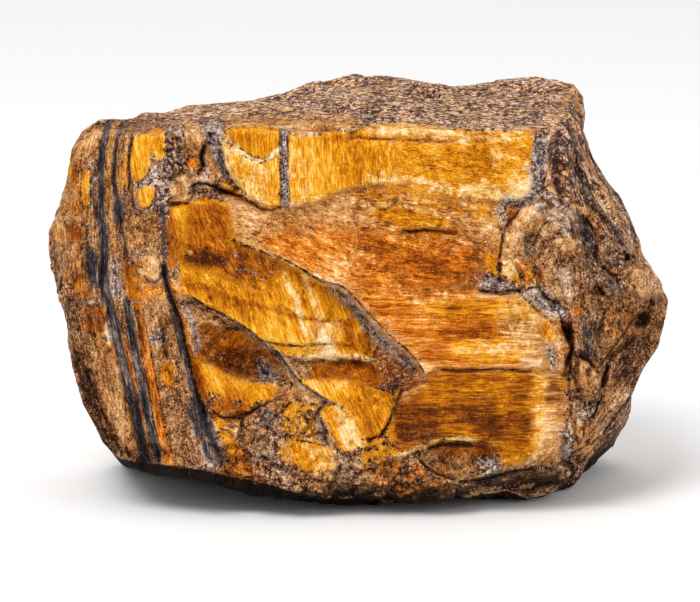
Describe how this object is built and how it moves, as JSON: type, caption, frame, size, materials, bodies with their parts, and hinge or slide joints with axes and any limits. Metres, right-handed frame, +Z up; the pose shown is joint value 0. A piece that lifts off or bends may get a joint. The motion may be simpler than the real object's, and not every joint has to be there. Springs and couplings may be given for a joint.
{
  "type": "rough tiger's eye stone",
  "caption": "Rough broken lump of banded brown and gold quartz with ledges and shell-shaped hollows, resting on a small flat foot.",
  "frame": {"origin": "on the surface it stands on, under the middle of the lump's bounding box", "axes": "+X along the long side, -Y out of the broken gold face, +Z up"},
  "size_m": [0.0797, 0.0445, 0.0515],
  "materials": {
    "stone": "silky gold fibre quartz with dark iron-oxide seams and a matt brown weathered crust"
  },
  "bodies": {
    "root": {"stone": "stone"}
  },
  "joints": []
}
